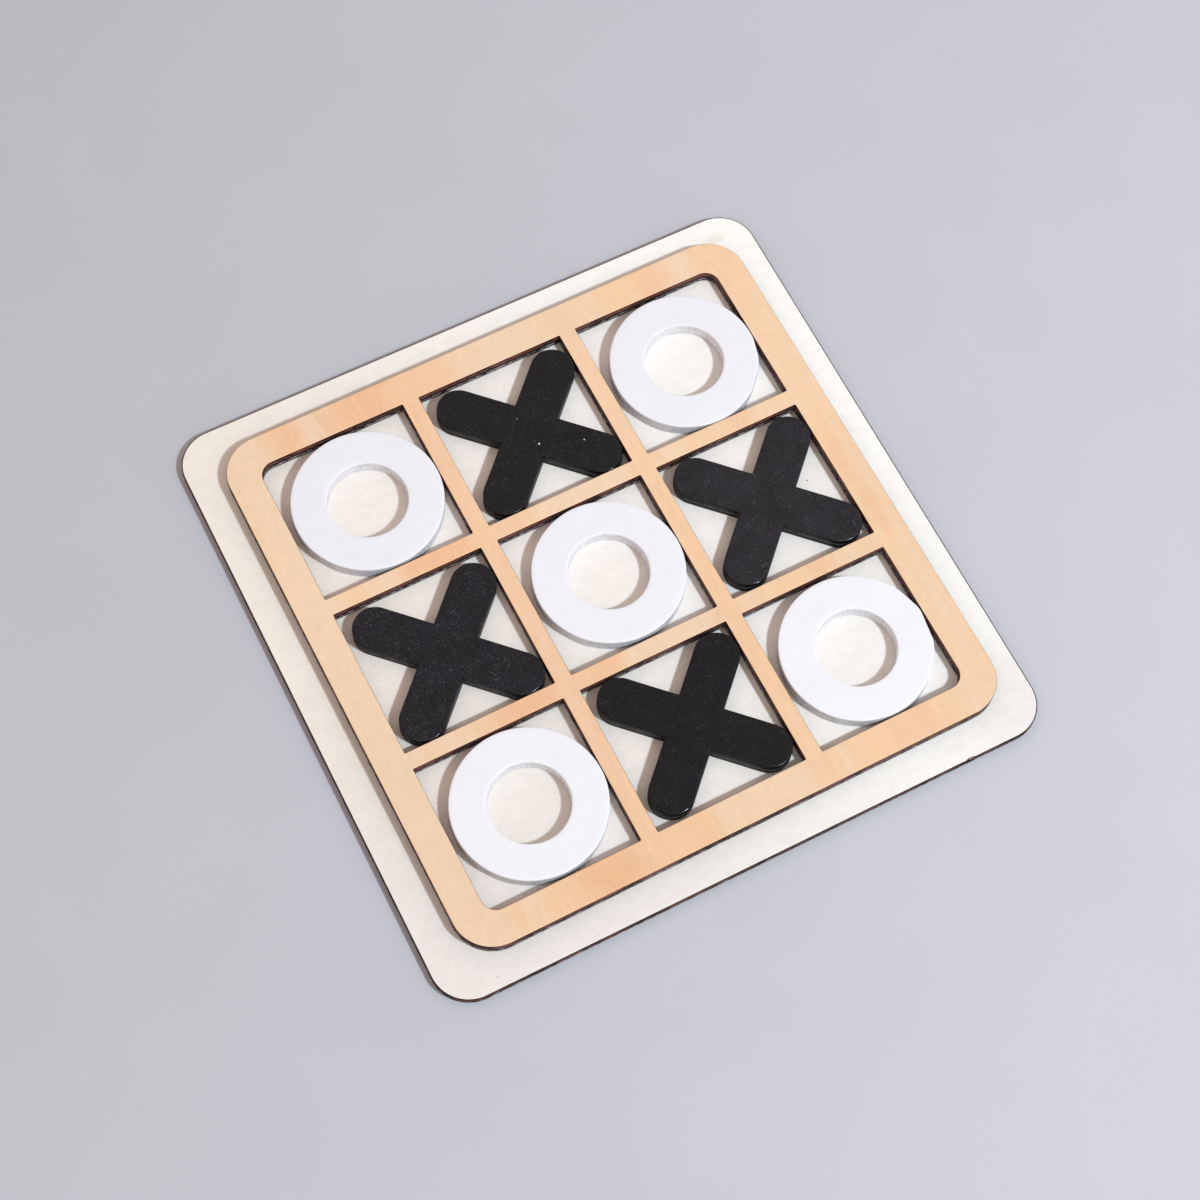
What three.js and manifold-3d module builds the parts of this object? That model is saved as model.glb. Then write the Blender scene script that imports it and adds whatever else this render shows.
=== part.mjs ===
// A wooden tic tac toe set: a thin plywood board with a plywood grid frame glued on it, and nine loose
// playing pieces, five rings and four crosses, lying in the nine cells of the frame.
// Millimetres, +Z up. The origin is the middle of the board's underside.
import * as THREE from "three";
import { mergeVertices } from "three/addons/utils/BufferGeometryUtils.js";
import Module from "manifold-3d";

const wasm = await Module();
wasm.setup();

// Board
const BOARD_SIDE = 150;
const BOARD_THICKNESS = 2.2;
const BOARD_CORNER = 9;

// Grid frame, glued on the board by hand: a little off its middle and turned a little
const CELL = 37;
const RIB = 4.2;
const BORDER = 7.7;
const CELLS_PER_SIDE = 3;
const FRAME_THICKNESS = 3.5;
const FRAME_CORNER = 9.5;
const CELL_CORNER = 3.5;
const CUT_OVERRUN = 1;
const FRAME_SHIFT = new THREE.Vector2(0.87, 0.1);
const FRAME_TURN_DEG = 0.4;

// Playing pieces
const RING_DIAMETER = 35.5;
const CROSS_SIZE = 34.9;
const PIECE_THICKNESS = 3.7;
const HOLE_DIAMETER = 18.7;
const ARM_WIDTH = 10.5;
const EDGE_ROUND = 0.3;
const REST_GAP = 0.05;

// Facets
const RING_SEGMENTS = 64;
const EDGE_SEGMENTS = 1;
const ARC_SEGMENTS = 6;

const PITCH = CELL + RIB;
const FRAME_SIDE = CELLS_PER_SIDE * CELL + (CELLS_PER_SIDE - 1) * RIB + 2 * BORDER;

const boardPlywood = new THREE.MeshStandardMaterial({ color: 0xefe7dd, roughness: 0.6, metalness: 0 });
const framePlywood = new THREE.MeshStandardMaterial({ color: 0xf2cca8, roughness: 0.65, metalness: 0 });
const whitePaint = new THREE.MeshStandardMaterial({ color: 0xf0f0f6, roughness: 0.55, metalness: 0 });
const blackPaint = new THREE.MeshStandardMaterial({ color: 0x262526, roughness: 0.5, metalness: 0 });

// Traces a rectangle anticlockwise on a path, from the middle of its left side. radii are those of its
// corners, in the order bottom left, bottom right, top right, top left; a radius of 0 is a sharp corner.
function traceRectangle(path, x, y, width, height, radii) {
  const corners = [
    [x, y],
    [x + width, y],
    [x + width, y + height],
    [x, y + height],
  ];
  const inward = [
    [1, 1],
    [-1, 1],
    [-1, -1],
    [1, -1],
  ];
  path.moveTo(x, y + height / 2);
  corners.forEach(([cornerX, cornerY], i) => {
    const radius = radii[i];
    if (radius === 0) {
      path.lineTo(cornerX, cornerY);
      return;
    }
    const centreX = cornerX + inward[i][0] * radius;
    const centreY = cornerY + inward[i][1] * radius;
    const start = Math.PI + (i * Math.PI) / 2;
    path.absarc(centreX, centreY, radius, start, start + Math.PI / 2, false);
  });
  path.closePath();
  return path;
}

// A flat rectangular sheet standing on z = 0, with its lower left corner at x, y.
function makeSheet(x, y, width, height, radii, depth) {
  const outline = traceRectangle(new THREE.Shape(), x, y, width, height, radii);
  return new THREE.ExtrudeGeometry(outline, { depth, bevelEnabled: false, curveSegments: ARC_SEGMENTS });
}

function toSolid(geometry) {
  const bare = geometry.clone();
  bare.deleteAttribute("normal");
  bare.deleteAttribute("uv");
  const merged = mergeVertices(bare);
  const vertProperties = merged.attributes.position.array;
  const triVerts = new Uint32Array(merged.index.array);
  return new wasm.Manifold(new wasm.Mesh({ numProp: 3, vertProperties, triVerts }));
}

function toGeometry(solid) {
  const { vertProperties, triVerts } = solid.getMesh();
  const geometry = new THREE.BufferGeometry();
  geometry.setAttribute("position", new THREE.BufferAttribute(vertProperties, 3));
  geometry.setIndex(new THREE.BufferAttribute(triVerts, 1));
  geometry.computeVertexNormals();
  return geometry;
}

// The board: one flat sheet with round corners.
function makeBoard() {
  const radii = Array(4).fill(BOARD_CORNER);
  const corner = -BOARD_SIDE / 2;
  const sheet = makeSheet(corner, corner, BOARD_SIDE, BOARD_SIDE, radii, BOARD_THICKNESS);
  const mesh = new THREE.Mesh(sheet, boardPlywood);
  mesh.name = "base_board";
  return mesh;
}

// The grid frame: one sheet with nine square windows cut through it. Only the window corners nearest the
// frame's own four corners are round.
function makeFrame() {
  const radii = Array(4).fill(FRAME_CORNER);
  const corner = -FRAME_SIDE / 2;
  let frame = toSolid(makeSheet(corner, corner, FRAME_SIDE, FRAME_SIDE, radii, FRAME_THICKNESS));
  const last = CELLS_PER_SIDE - 1;
  for (let column = 0; column <= last; column++) {
    for (let row = 0; row <= last; row++) {
      const x = corner + BORDER + column * PITCH;
      const y = corner + BORDER + row * PITCH;
      const windowRadii = [
        column === 0 && row === 0 ? CELL_CORNER : 0,
        column === last && row === 0 ? CELL_CORNER : 0,
        column === last && row === last ? CELL_CORNER : 0,
        column === 0 && row === last ? CELL_CORNER : 0,
      ];
      const cutter = makeSheet(x, y, CELL, CELL, windowRadii, FRAME_THICKNESS + 2 * CUT_OVERRUN);
      cutter.translate(0, 0, -CUT_OVERRUN);
      frame = frame.subtract(toSolid(cutter));
    }
  }
  const mesh = new THREE.Mesh(toGeometry(frame), framePlywood);
  mesh.name = "grid_frame";
  return mesh;
}

// A ring: a flat washer whose edges are rounded by its paint, turned from one closed profile.
function makeRing() {
  const inner = HOLE_DIAMETER / 2;
  const outer = RING_DIAMETER / 2;
  const corners = [
    [outer - EDGE_ROUND, EDGE_ROUND, -Math.PI / 2],
    [outer - EDGE_ROUND, PIECE_THICKNESS - EDGE_ROUND, 0],
    [inner + EDGE_ROUND, PIECE_THICKNESS - EDGE_ROUND, Math.PI / 2],
    [inner + EDGE_ROUND, EDGE_ROUND, Math.PI],
  ];
  const profile = [];
  for (const [radius, height, start] of corners) {
    for (let step = 0; step <= EDGE_SEGMENTS; step++) {
      const angle = start + (step / EDGE_SEGMENTS) * (Math.PI / 2);
      profile.push(new THREE.Vector2(radius + EDGE_ROUND * Math.cos(angle), height + EDGE_ROUND * Math.sin(angle)));
    }
  }
  profile.push(profile[0].clone());
  const geometry = new THREE.LatheGeometry(profile, RING_SEGMENTS);
  geometry.rotateX(Math.PI / 2);
  return new THREE.Mesh(geometry, whitePaint);
}

// A cross: two bars of one width with round ends, crossing at right angles on the cell's diagonals.
function makeCross() {
  const armRadius = ARM_WIDTH / 2;
  const endDistance = (CROSS_SIZE / 2 - armRadius) * Math.SQRT2;
  const crotchDistance = armRadius * Math.SQRT2;
  const outline = new THREE.Shape();
  outline.moveTo(crotchDistance, 0);
  for (let arm = 0; arm < 4; arm++) {
    const direction = Math.PI / 4 + (arm * Math.PI) / 2;
    const endX = endDistance * Math.cos(direction);
    const endY = endDistance * Math.sin(direction);
    outline.absarc(endX, endY, armRadius, direction - Math.PI / 2, direction + Math.PI / 2, false);
    const crotch = direction + Math.PI / 4;
    outline.lineTo(crotchDistance * Math.cos(crotch), crotchDistance * Math.sin(crotch));
  }
  const geometry = new THREE.ExtrudeGeometry(outline, {
    depth: PIECE_THICKNESS - 2 * EDGE_ROUND,
    bevelEnabled: true,
    bevelThickness: EDGE_ROUND,
    bevelSize: EDGE_ROUND,
    bevelOffset: -EDGE_ROUND,
    bevelSegments: EDGE_SEGMENTS,
    curveSegments: ARC_SEGMENTS,
  });
  geometry.translate(0, 0, EDGE_ROUND);
  return new THREE.Mesh(geometry, blackPaint);
}

// How the pieces lie at the end of a game: the cell each one is in (column -1, 0 or 1 from left to right,
// row -1, 0 or 1 from bottom to top), how far it lies from the cell's middle, and how it is turned.
const PIECES = [
  { name: "ring_top_left", make: makeRing, column: -1, row: 1, shiftX: 0.66, shiftY: -0.22, turnDeg: 12 },
  { name: "cross_top_center", make: makeCross, column: 0, row: 1, shiftX: 0.7, shiftY: -0.93, turnDeg: -0.15 },
  { name: "ring_top_right", make: makeRing, column: 1, row: 1, shiftX: 0.66, shiftY: -0.66, turnDeg: 71 },
  { name: "cross_middle_left", make: makeCross, column: -1, row: 0, shiftX: 0.7, shiftY: -0.93, turnDeg: -0.22 },
  { name: "ring_center", make: makeRing, column: 0, row: 0, shiftX: 0.66, shiftY: 0.15, turnDeg: 133 },
  { name: "cross_middle_right", make: makeCross, column: 1, row: 0, shiftX: 0.68, shiftY: -0.25, turnDeg: -0.23 },
  { name: "ring_bottom_left", make: makeRing, column: -1, row: -1, shiftX: 0.66, shiftY: 0.08, turnDeg: 205 },
  { name: "cross_bottom_center", make: makeCross, column: 0, row: -1, shiftX: 0.67, shiftY: 0.22, turnDeg: -0.23 },
  { name: "ring_bottom_right", make: makeRing, column: 1, row: -1, shiftX: 0.55, shiftY: -0.36, turnDeg: 290 },
];

const set = new THREE.Group();
set.add(makeBoard());

const tray = new THREE.Group();
tray.position.set(FRAME_SHIFT.x, FRAME_SHIFT.y, BOARD_THICKNESS);
tray.rotation.z = THREE.MathUtils.degToRad(FRAME_TURN_DEG);
tray.add(makeFrame());
set.add(tray);

for (const { name, make, column, row, shiftX, shiftY, turnDeg } of PIECES) {
  const piece = make();
  piece.name = name;
  piece.position.set(column * PITCH + shiftX, row * PITCH + shiftY, REST_GAP);
  piece.rotation.z = THREE.MathUtils.degToRad(turnDeg);
  tray.add(piece);
}

export default set;
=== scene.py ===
"""The looks of a wooden tic tac toe set: a pale plywood board, a laser-cut plywood grid frame, and nine
loose painted pieces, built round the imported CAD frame. Lengths are in millimetres, except those of the
key light, the floor and the camera's clip, which are in metres."""

import math

import bmesh
import bpy
import numpy as np
from mathutils import Matrix, Vector, noise


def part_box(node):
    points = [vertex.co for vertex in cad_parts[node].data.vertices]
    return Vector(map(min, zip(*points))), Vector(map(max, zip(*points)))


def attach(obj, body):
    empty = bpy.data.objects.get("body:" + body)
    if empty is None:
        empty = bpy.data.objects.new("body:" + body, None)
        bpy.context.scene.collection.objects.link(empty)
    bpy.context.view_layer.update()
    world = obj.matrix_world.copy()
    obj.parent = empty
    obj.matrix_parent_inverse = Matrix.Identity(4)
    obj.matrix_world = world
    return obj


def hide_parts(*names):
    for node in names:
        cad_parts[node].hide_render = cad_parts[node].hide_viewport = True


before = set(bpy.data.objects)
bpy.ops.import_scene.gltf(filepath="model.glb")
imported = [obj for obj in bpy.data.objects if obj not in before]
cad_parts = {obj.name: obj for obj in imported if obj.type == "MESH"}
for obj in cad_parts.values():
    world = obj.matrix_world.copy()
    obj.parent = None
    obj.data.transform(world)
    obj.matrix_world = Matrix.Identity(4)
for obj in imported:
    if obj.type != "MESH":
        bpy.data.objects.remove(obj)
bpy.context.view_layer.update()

MM = 0.001
FULL_TURN = 2 * math.pi


# ---------------------------------------------------------------- camera, light and floor

CAMERA_PLACE = Vector((-118.3, -195.7, 517.3)) * MM
CAMERA_HEADING = math.radians(58.93)
CAMERA_DIP = math.radians(66.5)
CAMERA_ROLL = math.radians(4.33)
CAMERA_LENS = 73.95
SENSOR_WIDTH = 36
NEAR_CLIP = 0.01

KEY_AZIMUTH = math.radians(-59.5)
KEY_ELEVATION = math.radians(51.6)
KEY_DISTANCE = 1.4
KEY_SIZE = 0.134
KEY_POWER = 14.0
KEY_COLOUR = (0.89, 1.034, 1.119)
SKY_COLOUR = (1.0, 0.838, 0.752)
SKY_STRENGTH = 0.683

FLOOR_SIDE = 3.0
FLOOR_GAP = 0.0001
FLOOR_SQUARES = 12


def aim(thing, forward, roll=0.0):
    """Turns a camera or light so that it looks along forward, rolled about its own line of sight."""
    turn = forward.to_track_quat("-Z", "Y").to_matrix().to_4x4()
    thing.matrix_world = Matrix.Translation(thing.location) @ turn @ Matrix.Rotation(roll, 4, "Z")


def make_camera():
    data = bpy.data.cameras.new("camera")
    data.sensor_width = SENSOR_WIDTH
    data.lens = CAMERA_LENS
    data.clip_start = NEAR_CLIP
    camera = bpy.data.objects.new("camera", data)
    bpy.context.scene.collection.objects.link(camera)
    camera.location = CAMERA_PLACE
    level = math.cos(CAMERA_DIP)
    forward = Vector(
        (
            level * math.cos(CAMERA_HEADING),
            level * math.sin(CAMERA_HEADING),
            -math.sin(CAMERA_DIP),
        )
    )
    aim(camera, forward, CAMERA_ROLL)
    bpy.context.scene.camera = camera


def make_lights():
    """One soft key light from the lower right, and an even warm sky that fills the shadows."""
    data = bpy.data.lights.new("key", "AREA")
    data.shape = "DISK"
    data.size = KEY_SIZE
    data.energy = KEY_POWER
    data.color = KEY_COLOUR
    key = bpy.data.objects.new("key", data)
    bpy.context.scene.collection.objects.link(key)
    level = math.cos(KEY_ELEVATION)
    towards = Vector(
        (
            level * math.cos(KEY_AZIMUTH),
            level * math.sin(KEY_AZIMUTH),
            math.sin(KEY_ELEVATION),
        )
    )
    key.location = towards * KEY_DISTANCE
    aim(key, -towards)
    world = bpy.data.worlds.new("sky")
    bpy.context.scene.world = world
    world.use_nodes = True
    background = world.node_tree.nodes["Background"]
    background.inputs["Color"].default_value = (*SKY_COLOUR, 1)
    background.inputs["Strength"].default_value = SKY_STRENGTH
    bpy.context.scene.view_settings.view_transform = "Standard"


# ---------------------------------------------------------------- the grid of cells

CELL = 37.0
RIB = 4.2
CELLS = (-1, 0, 1)
PITCH = CELL + RIB


# ---------------------------------------------------------------- finishes (materials)


# The colour sockets of Blender's Mix node, which share their names with its other kinds of socket.
MIX_UNDER, MIX_OVER, MIX_RESULT = 6, 7, 2


class Finish:
    """A material being put together from noise, bands and spots. Places are in the piece's millimetres."""

    def __init__(self, name, seed=0):
        self.material = bpy.data.materials.new(name)
        self.material.use_nodes = True
        tree = self.material.node_tree
        self.nodes = tree.nodes
        self.links = tree.links
        self.shader = self.nodes["Principled BSDF"]
        self.seed = seed
        place = self.nodes.new("ShaderNodeTexCoord").outputs["Object"]
        self.place = self.stretch(place, (1 / MM, 1 / MM, 1 / MM))
        apart = self.nodes.new("ShaderNodeSeparateXYZ")
        self.links.new(self.place, apart.inputs[0])
        self.x, self.y, self.z = apart.outputs

    def put(self, value, socket):
        """Joins a node's output to a socket, or sets the socket to a number or a colour."""
        if isinstance(value, bpy.types.NodeSocket):
            self.links.new(value, socket)
        elif isinstance(value, tuple) and socket.type == "RGBA":
            socket.default_value = (*value, 1)
        else:
            socket.default_value = value

    def sum(self, operation, *values, clamp=False):
        node = self.nodes.new("ShaderNodeMath")
        node.operation = operation
        node.use_clamp = clamp
        for value, socket in zip(values, node.inputs):
            self.put(value, socket)
        return node.outputs[0]

    def stretch(self, vector, factors):
        node = self.nodes.new("ShaderNodeVectorMath")
        node.operation = "MULTIPLY"
        self.put(vector, node.inputs[0])
        self.put(factors, node.inputs[1])
        return node.outputs[0]

    def shift(self, vector, amount):
        node = self.nodes.new("ShaderNodeVectorMath")
        node.operation = "ADD"
        self.put(vector, node.inputs[0])
        self.put(amount, node.inputs[1])
        return node.outputs[0]

    def grain(self, size, detail=2.0, rough=0.5, warp=0.0, place=None):
        """Cloudy noise from 0 to 1 whose lumps have the given size along X, Y and Z."""
        self.seed += 1
        scaled = self.stretch(place or self.place, tuple(1 / length for length in size))
        moved = self.shift(scaled, (7.3 * self.seed, 3.1 * self.seed, 1.7 * self.seed))
        node = self.nodes.new("ShaderNodeTexNoise")
        node.inputs["Scale"].default_value = 1
        node.inputs["Detail"].default_value = detail
        node.inputs["Roughness"].default_value = rough
        node.inputs["Distortion"].default_value = warp
        self.put(moved, node.inputs["Vector"])
        return node.outputs["Fac"]

    def fade(self, value, start, end, low=0.0, high=1.0):
        """Goes smoothly from low to high as value goes from start to end."""
        node = self.nodes.new("ShaderNodeMapRange")
        node.interpolation_type = "SMOOTHSTEP"
        ends = (value, start, end, low, high)
        if start > end:
            ends = (value, end, start, high, low)
        for given, socket in zip(ends, node.inputs):
            self.put(given, socket)
        return node.outputs[0]

    def band(self, value, centre, half_width, soft):
        """1 within half_width of centre, falling to 0 over soft."""
        away = self.sum("ABSOLUTE", self.sum("SUBTRACT", value, centre))
        return self.fade(away, half_width + soft, half_width)

    def patch(self, centre, radii, soft=0.5, wobble=0.0):
        """1 inside an ellipse on the face, falling to 0 towards its rim, which wobbles."""
        across = self.sum("DIVIDE", self.sum("SUBTRACT", self.x, centre[0]), radii[0])
        along = self.sum("DIVIDE", self.sum("SUBTRACT", self.y, centre[1]), radii[1])
        squares = self.sum("MULTIPLY_ADD", across, across, self.sum("MULTIPLY", along, along))
        away = self.sum("SQRT", squares)
        if wobble:
            ripple = self.grain((radii[0] * 0.7, radii[1] * 0.7, 50))
            away = self.sum("MULTIPLY_ADD", ripple, wobble, away)
            away = self.sum("SUBTRACT", away, wobble / 2)
        return self.fade(away, 1.0, 1.0 - soft)

    def mix(self, factor, under, over, strength=1.0):
        """Lays one colour over another."""
        if strength != 1.0:
            factor = self.sum("MULTIPLY", factor, strength)
        node = self.nodes.new("ShaderNodeMix")
        node.data_type = "RGBA"
        self.put(factor, node.inputs["Factor"])
        self.put(under, node.inputs[MIX_UNDER])
        self.put(over, node.inputs[MIX_OVER])
        return node.outputs[MIX_RESULT]

    def shade(self, colour, value, depth):
        """Darkens and lightens a colour by up to depth as value goes from 0 to 1."""
        tone = self.fade(value, 0.25, 0.75, 1 - depth, 1 + depth)
        node = self.nodes.new("ShaderNodeVectorMath")
        node.operation = "SCALE"
        self.put(colour, node.inputs[0])
        self.put(tone, node.inputs["Scale"])
        return node.outputs[0]

    def relief(self, height, depth, under=None):
        """A bump whose full height is depth."""
        node = self.nodes.new("ShaderNodeBump")
        node.inputs["Strength"].default_value = 1
        node.inputs["Distance"].default_value = depth * MM
        self.put(height, node.inputs["Height"])
        if under:
            self.put(under, node.inputs["Normal"])
        return node.outputs["Normal"]

    def done(self, colour, roughness, normal=None, specular=0.5):
        self.put(colour, self.shader.inputs["Base Color"])
        self.put(roughness, self.shader.inputs["Roughness"])
        self.shader.inputs["Specular IOR Level"].default_value = specular
        if normal:
            self.put(normal, self.shader.inputs["Normal"])
        return self.material


# Colours are the paint's or wood's own, as linear shares of the light that they give back, except the
# painted light and shade that is noted where it is used.
FRAME_PALE = (0.755, 0.568, 0.405)
FRAME_MID = (0.775, 0.528, 0.325)
FRAME_ORANGE = (0.765, 0.458, 0.278)
FRAME_DEEP = (0.700, 0.425, 0.235)
FRAME_PORE = (0.560, 0.350, 0.210)
BOARD_ROSY = (0.775, 0.720, 0.660)
BOARD_CREAM = (0.852, 0.845, 0.822)
BOARD_GREY = (0.745, 0.715, 0.695)
# Painted bounce light: the lighter, warmer colour of the board inside the cells.
BOARD_BOUNCE_LIGHT = (0.920, 0.820, 0.760)
BOARD_HOLE_TONE = (0.780, 0.730, 0.690)
BOARD_STREAK = (0.690, 0.620, 0.560)
# Char, which also serves as painted shade along the top and the foot of the cut edges.
SCORCH_AND_SHADE = (0.014, 0.008, 0.007)
CHAR = (0.044, 0.012, 0.009)
FACE_PLY_EDGE = (0.175, 0.050, 0.034)
FACE_PLY_LINE = (0.600, 0.380, 0.320)
BACK_PLY_EDGE = (0.340, 0.280, 0.290)
CORE_PLY_EDGE = (0.020, 0.010, 0.009)
WHITE_PAINT = (0.757, 0.772, 0.826)
WHITE_PAINT_THIN = (0.660, 0.672, 0.716)
WHITE_SIDE = (0.780, 0.785, 0.825)
WHITE_SIDE_DULL = (0.575, 0.577, 0.603)
BLACK_DUST = (0.125, 0.125, 0.145)
BLACK_SIDE = (0.0030, 0.0030, 0.0034)
BLACK_SIDE_WORN = (0.105, 0.104, 0.102)
WHITE_DUST = (0.900, 0.880, 0.900)
FLOOR_GREY = (0.474, 0.487, 0.534)
FLOOR_PALE = (0.514, 0.523, 0.580)

# Darker growth bands of the frame's veneer, across it: (middle, half width, strength).
FRAME_BANDS = (
    (-31, 7, 0.95),
    (-13.5, 5, 0.50),
    (-20.5, 3, 0.35),
    (21, 4, 0.22),
    (45, 4, 0.50),
)
FRAME_PALE_ZONES = ((-62.5, 4), (3, 7))
# Warm patches of figure on the frame: (x, y, half width, half length, strength).
FRAME_FIGURE = (
    (-50, 64, 7, 9, 0.70),
    (47, 63, 5, 4, 0.45),
    (63, -14, 3, 11, 0.60),
    (62, 3, 4, 15, 0.60),
    (-38, 21, 8, 6, 0.90),
    (-36, -20, 8, 6, 0.50),
)


def frame_face_finish():
    """Warm plywood veneer, sanded smooth, with its grain along Y."""
    f = Finish("frame_veneer", 3)
    drift = f.grain((11, 40, 30), 1)
    across = f.sum("ADD", f.x, f.fade(drift, 0.2, 0.8, -2.4, 2.4))
    lumps = f.grain((8, 120, 60), 2, 0.5)
    colour = f.mix(f.fade(lumps, 0.30, 0.70), FRAME_PALE, FRAME_MID)
    for middle, half_width in FRAME_PALE_ZONES:
        pale = f.band(across, middle, half_width, 5)
        colour = f.mix(pale, colour, FRAME_PALE, 0.8)
    for middle, half_width, strength in FRAME_BANDS:
        warm = f.band(across, middle, half_width * 0.4, half_width * 1.2)
        colour = f.mix(warm, colour, FRAME_ORANGE, strength)
    for x, y, half_width, half_length, strength in FRAME_FIGURE:
        warm = f.patch((x, y), (half_width, half_length), 0.9, 0.6)
        colour = f.mix(warm, colour, FRAME_ORANGE, strength)
    colour = f.mix(f.patch((-31, -64), (10, 7), 0.9, 0.6), colour, FRAME_DEEP, 0.75)
    colour = f.mix(f.fade(f.y, -30, -75), colour, FRAME_ORANGE, 0.18)
    # Painted light: the frame is made a little lighter towards the far side (+Y) and darker towards the
    # near side, for the way the key light falls across the set.
    colour = f.shade(colour, f.fade(f.y, -90, 90), 0.030)
    streaks = f.grain((1.3, 30, 30), 2, 0.5, 0.3)
    colour = f.shade(colour, streaks, 0.018)
    figure = f.grain((0.9, 4.5, 30), 2, 0.5, 1.2)
    colour = f.shade(colour, figure, 0.022)
    flames = f.grain((1.5, 7, 30), 3, 0.55, 1.6)
    flamed = f.sum("MULTIPLY", f.fade(flames, 0.46, 0.64), f.band(across, -33, 6, 8))
    colour = f.mix(flamed, colour, FRAME_DEEP, 0.40)
    shimmer = f.grain((3.6, 2.2, 30), 2, 0.5, 0.8)
    colour = f.shade(colour, shimmer, 0.014)
    fibres = f.grain((0.20, 3.5, 8), 2, 0.6)
    colour = f.shade(colour, fibres, 0.030)
    pores = f.grain((0.14, 1.1, 8), 1)
    colour = f.mix(f.fade(pores, 0.66, 0.78), colour, FRAME_PORE, 0.32)
    rough = f.fade(figure, 0.3, 0.7, 0.50, 0.62)
    rise = f.sum("SUBTRACT", fibres, f.fade(pores, 0.62, 0.78))
    return f.done(colour, rough, f.relief(rise, 0.014), 0.35)


# The middles of the places that show through the holes of the rings, where the board takes a darker, warmer
# tone without the painted bounce light of the cells.
HOLE_SPOTS = ((-40, 41), (42, 41), (1.5, 0.2), (-40, -41), (42.5, -41.3))


def board_face_finish():
    """Pale birch veneer with its grain along X, and painted bounce light that makes it lighter and warmer
    inside the cells.
    """
    f = Finish("board_veneer", 21)
    cloud = f.grain((46, 26, 40), 2)
    side = f.sum("MULTIPLY_ADD", cloud, 34, f.x)
    colour = f.mix(f.fade(side, -62, 68), BOARD_ROSY, BOARD_CREAM)
    low = f.sum("MULTIPLY_ADD", f.x, 0.35, f.y)
    colour = f.mix(f.fade(low, -40, -85), colour, BOARD_GREY, 0.75)
    hole_tone = f.mix(0.5, colour, BOARD_HOLE_TONE)
    # Painted bounce light: inside each cell the board is made lighter and warmer, as the warm walls of the
    # frame would light it.
    for column in CELLS:
        for row in CELLS:
            across = f.band(f.x, column * PITCH + 0.9, 18, 2)
            inside = f.sum("MULTIPLY", across, f.band(f.y, row * PITCH, 18, 2))
            colour = f.mix(inside, colour, BOARD_BOUNCE_LIGHT, 0.30)
    # In the middles of the ring holes the board is toned darker and warmer, in place of the painted bounce
    # light.
    for x, y in HOLE_SPOTS:
        colour = f.mix(f.patch((x, y), (15, 15), 0.3), colour, hole_tone)
    colour = f.mix(f.patch((72, -68), (30, 22), 0.9), colour, BOARD_GREY, 0.75)
    # Painted light: the board is made a little lighter towards the far side (+Y) and darker towards the
    # near side, for the way the key light falls across the set.
    colour = f.shade(colour, f.fade(f.y, -90, 90), 0.032)
    mottle = f.grain((4.5, 2.4, 30), 3, 0.55, 0.8)
    colour = f.shade(colour, mottle, 0.026)
    streaks = f.grain((5, 0.9, 30), 3, 0.6, 0.4)
    colour = f.mix(f.fade(streaks, 0.52, 0.82), colour, BOARD_STREAK, 0.15)
    fibres = f.grain((2.2, 0.22, 8), 2, 0.6)
    colour = f.shade(colour, fibres, 0.028)
    speckle = f.grain((0.7, 0.45, 8), 2, 0.6)
    colour = f.shade(colour, speckle, 0.018)
    dashes = f.grain((1.1, 0.15, 8), 1)
    colour = f.mix(f.fade(dashes, 0.68, 0.80), colour, BOARD_STREAK, 0.75)
    colour = f.mix(f.patch((54.5, 1.8), (0.22, 0.22)), colour, SCORCH_AND_SHADE)
    colour = f.mix(f.patch((-67.4, -23.7), (0.4, 0.3)), colour, CHAR, 0.4)
    colour = f.mix(f.patch((-62.3, -72.2), (0.6, 0.12)), colour, CHAR, 0.4)
    colour = f.mix(f.patch((66, 69), (5, 2), 0.9, 0.5), colour, BOARD_ROSY, 0.7)
    rough = f.fade(mottle, 0.3, 0.7, 0.50, 0.62)
    return f.done(colour, rough, f.relief(fibres, 0.012), 0.35)


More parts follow.
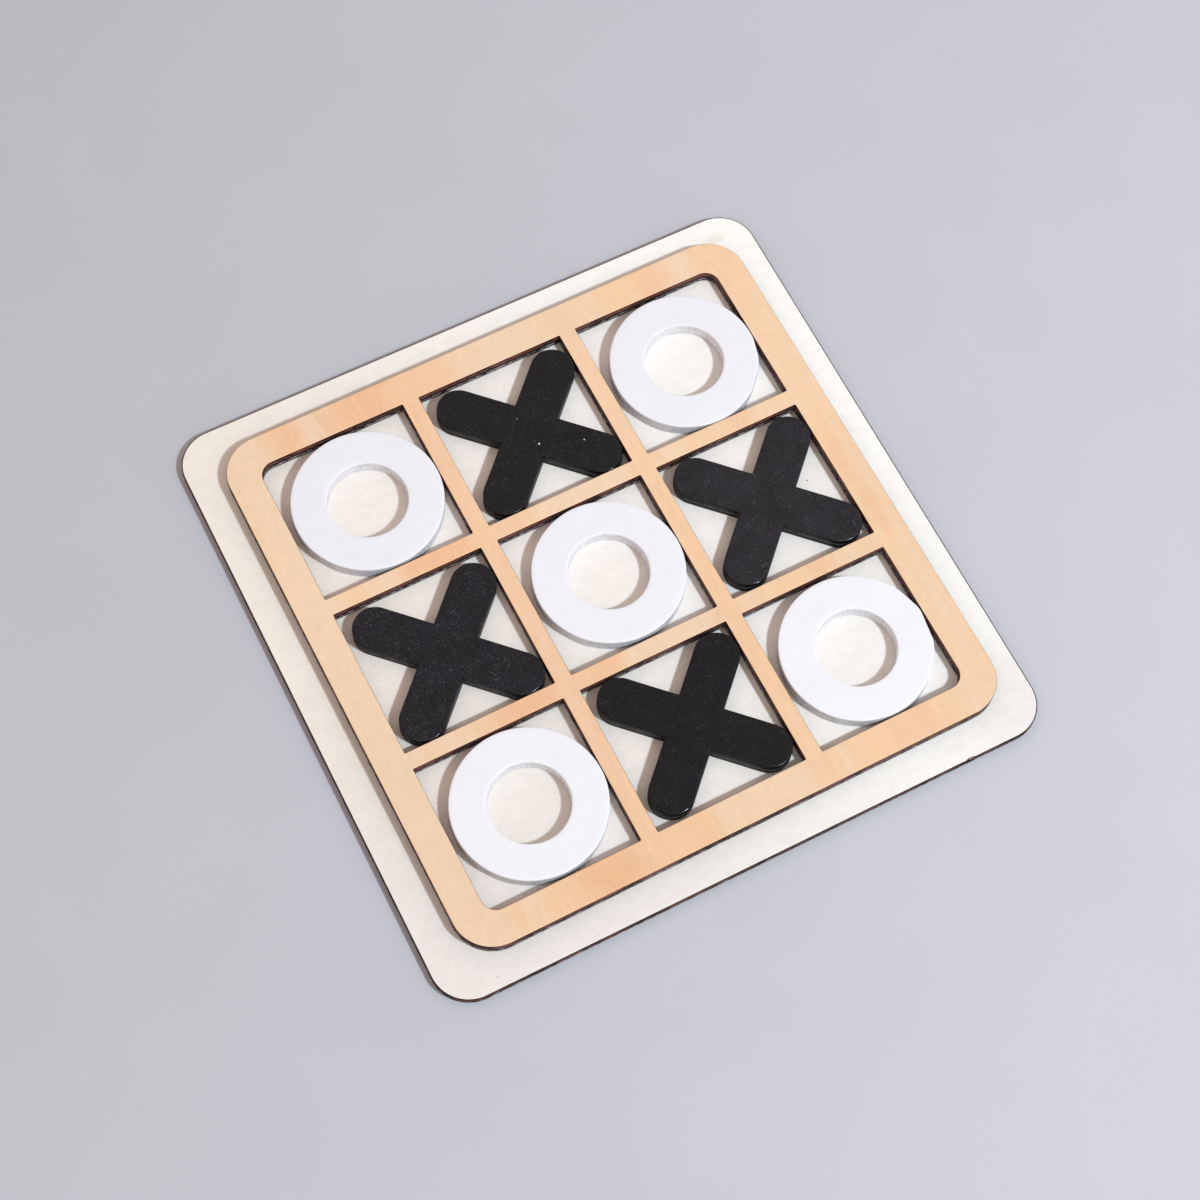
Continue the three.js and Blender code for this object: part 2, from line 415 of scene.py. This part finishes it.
def cut_edge_finish(name, thickness, seed):
    """The laser-cut edge of three-ply wood: a maroon face ply that ends in a broken paler line, a burnt
    core, a greyer back ply, and soot over all of them in places. A dark band along the top and one along
    the foot are char and painted shade at once: painted contact shade at the foot and, on the board, a
    painted shadow line along the top."""
    f = Finish(name, seed)
    wander = f.grain((3, 3, 3), 2)
    height = f.sum("MULTIPLY_ADD", wander, 0.16, f.z)
    soot = f.grain((7, 7, 30), 2, 0.5)
    burn = f.grain((0.45, 0.45, 2.4), 2, 0.6)
    crumbs = f.grain((1.5, 1.5, 0.25), 3, 0.6)
    low, high = 0.36 * thickness, 0.62 * thickness
    upper = f.mix(f.fade(soot, 0.42, 0.60), FACE_PLY_EDGE, CHAR)
    line = f.band(height, high + 0.26, 0.06, 0.12)
    shown = f.sum("MULTIPLY", line, f.fade(crumbs, 0.42, 0.56))
    upper = f.mix(shown, upper, FACE_PLY_LINE, 0.60)
    lower = f.mix(f.fade(crumbs, 0.44, 0.60), SCORCH_AND_SHADE, BACK_PLY_EDGE)
    colour = f.mix(f.fade(height, high, high + 0.14), lower, upper)
    core = f.band(height, (low + high) / 2 + 0.08, (high - low) / 2, 0.12)
    dark = f.mix(f.fade(burn, 0.40, 0.80), SCORCH_AND_SHADE, CORE_PLY_EDGE)
    colour = f.mix(core, colour, dark, 0.98)
    # A dark band at the top of the cut: char, and on the board, whose top edge is eased wide enough to show
    # it from above, a painted shadow line standing in for its thin shadow on the floor.
    colour = f.mix(f.fade(f.z, thickness - 0.26, thickness - 0.14), colour, SCORCH_AND_SHADE, 0.85)
    # A dark band at the foot of the cut: char, and painted contact shade where the wall stands on the board
    # or on the floor.
    colour = f.mix(f.fade(f.z, 0.50, 0.25), colour, SCORCH_AND_SHADE, 0.95)
    colour = f.shade(colour, burn, 0.15)
    return f.done(colour, f.fade(soot, 0.3, 0.7, 0.5, 0.8), f.relief(burn, 0.05), 0.15)


def white_face_finish(name, seed):
    """White paint brushed on sanded wood, with the grain still showing faintly along X."""
    f = Finish(name, seed)
    brush = f.grain((9, 0.5, 6), 3, 0.6, 0.4)
    cloud = f.grain((7, 4, 9), 2)
    colour = f.mix(f.fade(brush, 0.45, 0.80), WHITE_PAINT, WHITE_PAINT_THIN, 0.26)
    colour = f.shade(colour, cloud, 0.008)
    lint = f.grain((0.9, 0.16, 3), 2, 0.6)
    colour = f.mix(f.fade(lint, 0.66, 0.80), colour, WHITE_PAINT_THIN, 0.25)
    rise = f.sum("ADD", brush, f.sum("MULTIPLY", lint, 0.5))
    rough = f.fade(cloud, 0.3, 0.7, 0.44, 0.58)
    return f.done(colour, rough, f.relief(rise, 0.020), 0.4)


def white_side_finish(name, seed):
    """White paint soaked into the cut edge: duller, with fine marks up and down it."""
    f = Finish(name, seed)
    marks = f.grain((0.32, 0.32, 2.6), 3, 0.6)
    clouds = f.grain((3.5, 3.5, 1.6), 2)
    colour = f.mix(f.fade(clouds, 0.35, 0.70), WHITE_SIDE, WHITE_SIDE_DULL, 0.55)
    colour = f.mix(f.fade(marks, 0.48, 0.66), colour, WHITE_SIDE_DULL, 0.85)
    crumbs = f.grain((0.25, 0.25, 0.30), 3, 0.6)
    colour = f.shade(colour, crumbs, 0.05)
    rise = f.sum("ADD", crumbs, marks)
    return f.done(colour, 0.65, f.relief(rise, 0.040), 0.3)


def black_face_finish(name, seed, thickness, paint, dust, flecks):
    """Satin black paint with a fine pebbled skin, rubbed shiny at the rim, dusted with tiny pale specks
    and threads, and a few flecks of lint."""
    f = Finish(name, seed)
    pebbles = f.grain((0.30, 0.30, 0.30), 2, 0.6)
    cloud = f.grain((7, 5, 9), 2)
    colour = f.shade(paint, cloud, 0.25)
    mist = f.grain((0.34, 0.34, 0.34), 2, 0.6)
    colour = f.mix(f.fade(mist, 0.50, 0.72), colour, BLACK_DUST, dust * 0.22)
    specks = f.grain((0.36, 0.36, 0.36), 1, 0.5)
    zones = f.grain((4, 4, 4), 2)
    shown = f.sum("MULTIPLY", f.fade(specks, 0.655, 0.72), f.fade(zones, 0.25, 0.60, 0.35, 1.0))
    colour = f.mix(shown, colour, BLACK_DUST, dust * 0.75)
    for lean in ((0.28, 1.8, 0.5), (1.8, 0.28, 0.5)):
        threads = f.grain(lean, 1, 0.5, 1.2)
        thin = f.sum("MULTIPLY", f.fade(threads, 0.69, 0.74), f.fade(zones, 0.45, 0.60))
        colour = f.mix(thin, colour, BLACK_DUST, dust * 0.8)
    for x, y, radius, strength in flecks:
        colour = f.mix(f.patch((x, y), (radius, radius), 0.7), colour, WHITE_DUST, strength)
    rough = f.fade(zones, 0.3, 0.7, 0.30, 0.40)
    rubbed = f.band(f.z, thickness - 0.10, 0.05, 0.02)
    rough = f.sum("MULTIPLY_ADD", rubbed, -0.22, rough)
    return f.done(colour, rough, f.relief(pebbles, 0.020), 0.28)


def black_side_finish(name, seed, thickness):
    """Black paint on the cut edge: smooth at the top and the bottom, rough and worn grey between."""
    f = Finish(name, seed)
    wander = f.grain((3, 3, 3), 2)
    height = f.sum("MULTIPLY_ADD", wander, 0.40, f.z)
    worn = f.band(height, 0.54 * thickness, 0.13 * thickness, 0.22)
    marks = f.grain((1.8, 1.8, 0.25), 3, 0.65)
    zones = f.grain((5, 5, 5), 2)
    shown = f.sum("MULTIPLY", worn, f.fade(marks, 0.38, 0.58, 0.35, 1.0))
    shown = f.sum("MULTIPLY", shown, f.fade(zones, 0.30, 0.60, 0.45, 1.0))
    colour = f.mix(shown, BLACK_SIDE, BLACK_SIDE_WORN)
    burn = f.grain((0.4, 0.4, 1.6), 2, 0.6)
    rise = f.sum("MULTIPLY", worn, f.sum("ADD", marks, burn))
    return f.done(colour, f.fade(worn, 0, 1, 0.45, 0.70), f.relief(rise, 0.05), 0.10)


def floor_finish():
    """Pale grey card, with painted light that makes it a little lighter towards the lower right."""
    f = Finish("floor_card", 55)
    # Painted light: the floor's colour grows lighter towards the lower right, on the key light's side.
    slope = f.sum("MULTIPLY_ADD", f.y, -0.3, f.x)
    colour = f.mix(f.fade(slope, -150, 190), FLOOR_GREY, FLOOR_PALE)
    colour = f.shade(colour, f.grain((26, 26, 26), 2), 0.010)
    tooth = f.grain((0.8, 0.8, 0.8), 2)
    colour = f.shade(colour, tooth, 0.010)
    return f.done(colour, 0.8, f.relief(tooth, 0.02), 0.2)


# ---------------------------------------------------------------- meshes


FACE, EDGE = 0, 1
# An open edge belongs to the flat face whose height it is this near to.
CAP_REACH = 0.3
SHARP_ANGLE = math.radians(38)


class Shell:
    """The points and faces of one piece while it is put together from closed loops of points."""

    def __init__(self):
        self.points = []
        self.faces = []
        self.finishes = []

    def loop(self, flat, height):
        start = len(self.points)
        levels = np.broadcast_to(height, (len(flat),))
        self.points.extend((x, y, z) for (x, y), z in zip(flat, levels))
        return list(range(start, len(self.points)))

    def band(self, lower, upper, finish):
        count = len(lower)
        for here in range(count):
            after = (here + 1) % count
            self.faces.append((lower[here], lower[after], upper[after], upper[here]))
            self.finishes.append(finish)

    def loft(self, loops, finishes):
        for lower, upper, finish in zip(loops, loops[1:], finishes):
            self.band(lower, upper, finish)

    def mesh(self, name, caps):
        """caps gives the finish of each flat face that fills the open edges near a height."""
        data = bpy.data.meshes.new(name)
        data.from_pydata([Vector(p) * MM for p in self.points], [], self.faces)
        data.polygons.foreach_set("material_index", self.finishes)
        work = bmesh.new()
        work.from_mesh(data)
        for height, finish in caps:
            rim = [
                edge
                for edge in work.edges
                if edge.is_boundary and abs(edge.verts[0].co.z / MM - height) < CAP_REACH
            ]
            filled = bmesh.ops.triangle_fill(work, edges=rim, use_beauty=True, use_dissolve=False)
            for made in filled["geom"]:
                if isinstance(made, bmesh.types.BMFace):
                    made.material_index = finish
        bmesh.ops.recalc_face_normals(work, faces=work.faces)
        work.to_mesh(data)
        work.free()
        data.polygons.foreach_set("use_smooth", [True] * len(data.polygons))
        data.set_sharp_from_angle(angle=SHARP_ANGLE)
        return data


def waver(x, y, z, size, seed):
    """Smooth noise from -1 to 1 with lumps of the given size."""
    offset = Vector((13.7 * seed, 7.9 * seed, 3.3 * seed))
    return noise.noise(Vector((x, y, z)) / size + offset)


def rounded_outline(half, radii, spacing):
    """A rounded square about 0, 0, anticlockwise from its lower left corner: points, and normals that
    point out of it. radii are those of the lower left, lower right, upper right and upper left corners."""
    points, normals = [], []
    quarter = math.pi / 2
    for corner, radius in enumerate(radii):
        next_radius = radii[(corner + 1) % 4]
        start = math.pi + corner * quarter
        steps = max(4, round(quarter * radius / spacing) * 2)
        centre_x = math.copysign(half - radius, math.cos(start + quarter / 2))
        centre_y = math.copysign(half - radius, math.sin(start + quarter / 2))
        for step in range(steps + 1):
            angle = start + quarter * step / steps
            normal = (math.cos(angle), math.sin(angle))
            points.append((centre_x + radius * normal[0], centre_y + radius * normal[1]))
            normals.append(normal)
        length = 2 * half - radius - next_radius
        count = round(length / spacing)
        along = (-math.sin(start + quarter), math.cos(start + quarter))
        first = points[-1]
        for step in range(1, count):
            walked = length * step / count
            points.append((first[0] + along[0] * walked, first[1] + along[1] * walked))
            normals.append(normal)
    return np.array(points), np.array(normals)


def cut_wall(thickness, undercut, ease):
    """The profile of a laser-cut edge from bottom to top: (height, depth into the wood). The burnt core
    and the glue lines lie a little deeper than the face plies, and the top edge is eased."""
    low, high = 0.34 * thickness, 0.63 * thickness
    return (
        (0.0, undercut),
        (0.10, undercut * 0.6),
        (0.18, 0.02),
        (low - 0.25, 0.0),
        (low - 0.06, 0.02),
        (low, 0.09),
        (low + 0.08, 0.05),
        ((low + high) / 2, 0.04),
        (high - 0.08, 0.06),
        (high, 0.09),
        (high + 0.06, 0.02),
        (high + 0.25, 0.0),
        (thickness - 0.12, 0.0),
        (thickness - 0.04, ease * 0.3),
        (thickness, ease),
    )


# The width of the strip of flat face that borders a cut edge.
SUPPORT = 0.30
# A chip only cuts the wall that lies this near to it along Y.
CHIP_REACH = 12


def add_cut_wall(shell, outline, thickness, inward, undercut, ease, seed, centre=(0.0, 0.0), chips=()):
    """Adds a rough laser-cut wall round an outline. inward is -1 where the wood lies inside the outline
    and 1 where it lies outside, as round a window."""
    points, normals = outline
    places = points + np.array(centre)
    loops = []
    kinds = []
    for height, depth in cut_wall(thickness, undercut, ease):
        offsets = []
        for x, y in places:
            rough = 0.022 * waver(x, y, height * 0.25, 0.7, seed) + 0.015 * waver(x, y, height, 1.9, seed)
            offsets.append(max(depth + abs(rough), 0.0))
        for chip in chips:
            offsets = np.maximum(offsets, chip_depths(places, height, chip))
        flat = places + normals * inward * np.array(offsets)[:, None]
        loops.append(shell.loop(flat, height))
        kinds.append(EDGE)
    inner = np.array(offsets) + SUPPORT
    loops.append(shell.loop(places + normals * inward * inner[:, None], thickness))
    kinds[-1] = FACE
    shell.loft(loops, kinds)


def chip_depths(places, height, chip):
    """How far a chip in the top edge goes in at each point: its corner is steep on the right and runs out
    to the left."""
    x, y, length, depth, floor = chip
    away = places - np.array((x, y))
    near = np.abs(away[:, 1]) < CHIP_REACH
    along = np.clip(1 + away[:, 0] / length, 0, 1) * (away[:, 0] < 0.0) * near
    jag = np.array([0.75 + 0.5 * waver(px, py, 0, 0.6, 5) for px, py in places])
    opened = min(max((height - floor) / 0.25, 0), 1)
    return along * depth * jag * opened


# Chips in the board's top edge: (x, y, length, depth, height of the chip's floor).
BOARD_CHIPS = ((54.5, -75, 2.8, 1.0, 1.30), (-60.5, -74, 8.5, 0.36, 1.60))
BOARD_CORNER = 9.0
BOARD_SPACING = 0.9


def make_board():
    low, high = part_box("base_board")
    half = (high.x - low.x) / 2 / MM
    thickness = (high.z - low.z) / MM
    outline = rounded_outline(half, [BOARD_CORNER] * 4, BOARD_SPACING)
    shell = Shell()
    # The board's top edge is eased wider than the frame's so that the dark band at the top of its cut edge
    # shows from above: a painted shadow line along the board's outline.
    add_cut_wall(shell, outline, thickness, -1, 0.08, 0.25, 2, chips=BOARD_CHIPS)
    data = shell.mesh("birch_board", ((0, FACE), (thickness, FACE)))
    piece = bpy.data.objects.new("birch_board", data)
    data.materials.append(board_face_finish())
    data.materials.append(cut_edge_finish("board_cut_edge", thickness, 31))
    return piece


FRAME_CORNER = 9.5
CELL_CORNER = 3.5
SHARP_CORNER = 0.2
FRAME_TURN = math.radians(0.4)
FRAME_SPACING = 0.75


def frame_half_turned(low, high):
    reach = (high.x - low.x) / 2 / MM
    turned = math.cos(FRAME_TURN) + math.sin(FRAME_TURN)
    return (reach - FRAME_CORNER) / turned + FRAME_CORNER


def make_frame():
    low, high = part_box("grid_frame")
    thickness = (high.z - low.z) / MM
    half = frame_half_turned(low, high)
    shell = Shell()
    outer = rounded_outline(half, [FRAME_CORNER] * 4, FRAME_SPACING)
    add_cut_wall(shell, outer, thickness, -1, 0.10, 0.09, 4)
    for column in CELLS:
        for row in CELLS:
            sides = ((-1, -1), (1, -1), (1, 1), (-1, 1))
            radii = [CELL_CORNER if (column, row) == side else SHARP_CORNER for side in sides]
            window = rounded_outline(CELL / 2, radii, FRAME_SPACING)
            middle = (column * PITCH, row * PITCH)
            add_cut_wall(shell, window, thickness, 1, 0.12, 0.09, 6, centre=middle)
    data = shell.mesh("plywood_grid_frame", ((0, FACE), (thickness, FACE)))
    piece = bpy.data.objects.new("plywood_grid_frame", data)
    piece.location = (*((low + high) / 2).xy, low.z)
    piece.rotation_euler.z = FRAME_TURN
    data.materials.append(frame_face_finish())
    data.materials.append(cut_edge_finish("frame_cut_edge", thickness, 41))
    return piece


# The edge of a painted piece from bottom to top: (height from the bottom or the top, depth inwards).
BOTTOM_ROUND = ((0.0, 0.22), (0.04, 0.10), (0.12, 0.02), (0.22, 0.0))
SIDE_SHARES = (0.2, 0.35, 0.5, 0.65, 0.8)
TOP_ROUND = ((-0.30, 0.0), (-0.20, 0.02), (-0.11, 0.07), (-0.04, 0.15), (0.0, 0.30))


def painted_wall(thickness):
    """(height, depth, finish of the band above) up the side of a painted piece."""
    rows = [(height, depth, EDGE) for height, depth in BOTTOM_ROUND]
    rows += [(share * thickness, 0.0, EDGE) for share in SIDE_SHARES]
    rows += [(thickness + height, depth, FACE) for height, depth in TOP_ROUND]
    return rows


HOLE_RADIUS = 9.35
RING_SEGMENTS = 200
RING_FACE_STEPS = 10
RIM_WAVER = 0.03
SIDE_ROUGHNESS = 0.025
HOLE_ROUGHER = 1.8
# The faces of the painted pieces waver by this much about a small drop, and never rise above the CAD's.
FACE_WAVER = 0.02
FACE_DROP = 0.015


def ring_radius(angle, radius, flats, seed):
    """The outline of a ring that is not quite round: a circle with small flats, (direction, depth)."""
    x, y = math.cos(angle), math.sin(angle)
    reach = radius - RIM_WAVER + RIM_WAVER * waver(x, y, 0, 0.45, seed)
    for direction, depth in flats:
        facing = math.cos(angle - math.radians(direction))
        if facing > 0.5:
            reach = min(reach, (radius - depth) / facing)
    return reach


def make_ring(node, turn, flats, seed):
    low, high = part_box(node)
    thickness = (high.z - low.z) / MM
    radius = (high - low).xy.length / math.sqrt(2) / 2 / MM
    angles = np.arange(RING_SEGMENTS) / RING_SEGMENTS * FULL_TURN
    rim = np.array([ring_radius(a + turn, radius, flats, seed) for a in angles])
    spokes = np.stack([np.cos(angles), np.sin(angles)], 1)
    shell = Shell()

    def circle(reach, height):
        rise = 0.0 if height < thickness / 2 else 1.0
        reach = np.broadcast_to(reach, (RING_SEGMENTS,))
        flat = spokes * reach[:, None]
        level = [
            height + rise * min(0.0, FACE_WAVER * waver(x, y, 0, 6, seed) - FACE_DROP)
            for x, y in flat
        ]
        return shell.loop(flat, level)

    def roughness(height, depth, wall_seed):
        return np.array(
            [
                SIDE_ROUGHNESS * waver(9 * x, 9 * y, height, 1.0, wall_seed) if depth < 0.3 else 0.0
                for x, y in spokes
            ]
        )

    # The loops go up the outside, in across the top, and down the hole. The last band closes the bottom.
    wall = painted_wall(thickness)
    loops = []
    kinds = []
    for height, depth, kind in wall:
        bumps = np.abs(roughness(height, depth, seed))
        loops.append(circle(rim - depth - bumps, height))
        kinds.append(kind)
    outer_reach = rim - wall[-1][1]
    inner_reach = HOLE_RADIUS + wall[-1][1]
    for step in range(1, RING_FACE_STEPS):
        share = step / RING_FACE_STEPS
        loops.append(circle(outer_reach + (inner_reach - outer_reach) * share, thickness))
        kinds.append(FACE)
    for height, depth, kind in reversed(wall):
        bumps = np.abs(roughness(height, depth, seed + 9)) * HOLE_ROUGHER
        loops.append(circle(HOLE_RADIUS + depth + bumps, height))
        kinds.append(kind)
    kinds = kinds[:-1] + [FACE]
    first_hole = len(wall) + RING_FACE_STEPS - 1
    for index in range(first_hole, len(loops) - 1):
        kinds[index] = wall[len(loops) - 2 - index][2]
    shell.loft(loops + [loops[0]], kinds)
    data = shell.mesh("white_" + node, ())
    data.materials.append(white_face_finish("white_paint_" + node, seed * 7))
    data.materials.append(white_side_finish("white_edge_" + node, seed * 7 + 3))
    return place_piece(data, node, turn)


ARM_WIDTH = 10.5
ARM_END_STEPS = 28
ARM_SIDE_STEPS = 16
ARM_ROUGHNESS = 0.03
CROSS_FACE_INSETS = (1.0, 1.6, 2.4, 3.3, 4.2, 4.75)


def cross_outline(size, half_width):
    """The outline of a cross of two round-ended bars; half_width shrinks for the loops further in."""
    end = (size / 2 - ARM_WIDTH / 2) * math.sqrt(2)
    crotch = half_width * math.sqrt(2)
    points = []
    for arm in range(4):
        direction = FULL_TURN / 8 + arm * FULL_TURN / 4
        centre = Vector((math.cos(direction), math.sin(direction))) * end
        for step in range(ARM_END_STEPS + 1):
            angle = direction - math.pi / 2 + math.pi * step / ARM_END_STEPS
            points.append(centre + Vector((math.cos(angle), math.sin(angle))) * half_width)
        corner = Vector((math.cos(direction + FULL_TURN / 8), math.sin(direction + FULL_TURN / 8))) * crotch
        leave = points[-1]
        after = direction + FULL_TURN / 4
        next_centre = Vector((math.cos(after), math.sin(after))) * end
        arrive_angle = after - math.pi / 2
        arrive = next_centre + Vector((math.cos(arrive_angle), math.sin(arrive_angle))) * half_width
        for step in range(1, ARM_SIDE_STEPS + 1):
            points.append(leave.lerp(corner, step / ARM_SIDE_STEPS))
        for step in range(1, ARM_SIDE_STEPS):
            points.append(corner.lerp(arrive, step / ARM_SIDE_STEPS))
    return points


def make_cross(node, turn, paint, dust, flecks, seed):
    low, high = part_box(node)
    thickness = (high.z - low.z) / MM
    size = (high.x - low.x) / MM
    shell = Shell()

    def outline(depth, height, rough):
        points = cross_outline(size, ARM_WIDTH / 2 - depth)
        flat = []
        level = []
        for point in points:
            bump = rough * (waver(point.x, point.y, height, 0.9, seed) - 0.5)
            flat.append(point + point.normalized() * bump)
            dip = FACE_WAVER * waver(point.x, point.y, 0, 5, seed) - FACE_DROP
            level.append(height + (min(0.0, dip) if height > thickness / 2 else 0.0))
        return shell.loop(flat, level)

    loops = []
    kinds = []
    for height, depth, kind in painted_wall(thickness):
        loops.append(outline(depth, height, ARM_ROUGHNESS))
        kinds.append(kind)
    for inset in CROSS_FACE_INSETS:
        loops.append(outline(inset, thickness, 0.0))
        kinds.append(FACE)
    shell.loft(loops, kinds)
    data = shell.mesh("black_" + node, ((0, EDGE), (thickness, FACE)))
    face = black_face_finish("black_paint_" + node, seed * 11, thickness, paint, dust, flecks)
    data.materials.append(face)
    data.materials.append(black_side_finish("black_edge_" + node, seed * 11 + 5, thickness))
    return place_piece(data, node, turn)


def place_piece(data, node, turn):
    low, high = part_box(node)
    piece = bpy.data.objects.new(data.name, data)
    piece.location = (*((low + high) / 2).xy, low.z)
    piece.rotation_euler.z = turn
    return piece


# Each ring: the direction of its grain in degrees, and the flats on its rim as (direction, depth).
# The directions of flats are on the board, in degrees from X.
RINGS = {
    "ring_top_left": (8, ()),
    "ring_top_right": (-12, ((-44, 0.30), (-14, 0.16))),
    "ring_center": (3, ()),
    "ring_bottom_left": (15, ()),
    "ring_bottom_right": (-6, ((-42, 0.22), (-8, 0.42), (18, 0.25))),
}
# Each cross: its turn in degrees, its paint, how much dust shows, and its flecks of lint (x, y, radius,
# strength).
CROSSES = {
    "cross_top_center": (
        -0.15,
        (0.0034, 0.0038, 0.0055),
        0.35,
        ((-1.2, 4.0, 0.16, 0.5), (0.5, -4.1, 0.30, 0.9), (10.4, -7.8, 0.25, 0.7)),
    ),
    "cross_middle_left": (-0.22, (0.0046, 0.0050, 0.0086), 0.55, ()),
    "cross_middle_right": (-0.23, (0.0102, 0.0105, 0.0146), 0.65, ()),
    "cross_bottom_center": (-0.23, (0.0010, 0.0016, 0.0038), 0.32, ()),
}


def add_to_set(piece, body, node):
    bpy.context.scene.collection.objects.link(piece)
    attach(piece, body)
    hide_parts(node)


def make_floor():
    data = bpy.data.meshes.new("floor")
    work = bmesh.new()
    bmesh.ops.create_grid(work, x_segments=FLOOR_SQUARES, y_segments=FLOOR_SQUARES, size=FLOOR_SIDE / 2)
    work.to_mesh(data)
    work.free()
    floor = bpy.data.objects.new("floor", data)
    floor.location.z = -FLOOR_GAP
    data.materials.append(floor_finish())
    bpy.context.scene.collection.objects.link(floor)


make_camera()
make_lights()
make_floor()
add_to_set(make_board(), "board", "base_board")
add_to_set(make_frame(), "board", "grid_frame")
for number, (node, (grain_turn, flats)) in enumerate(RINGS.items(), 1):
    ring = make_ring(node, math.radians(grain_turn), flats, number)
    add_to_set(ring, node, node)
for number, (node, (turn_degrees, paint, dust, flecks)) in enumerate(CROSSES.items(), 1):
    turn = math.radians(turn_degrees) + FRAME_TURN
    cross = make_cross(node, turn, paint, dust, flecks, number)
    add_to_set(cross, node, node)
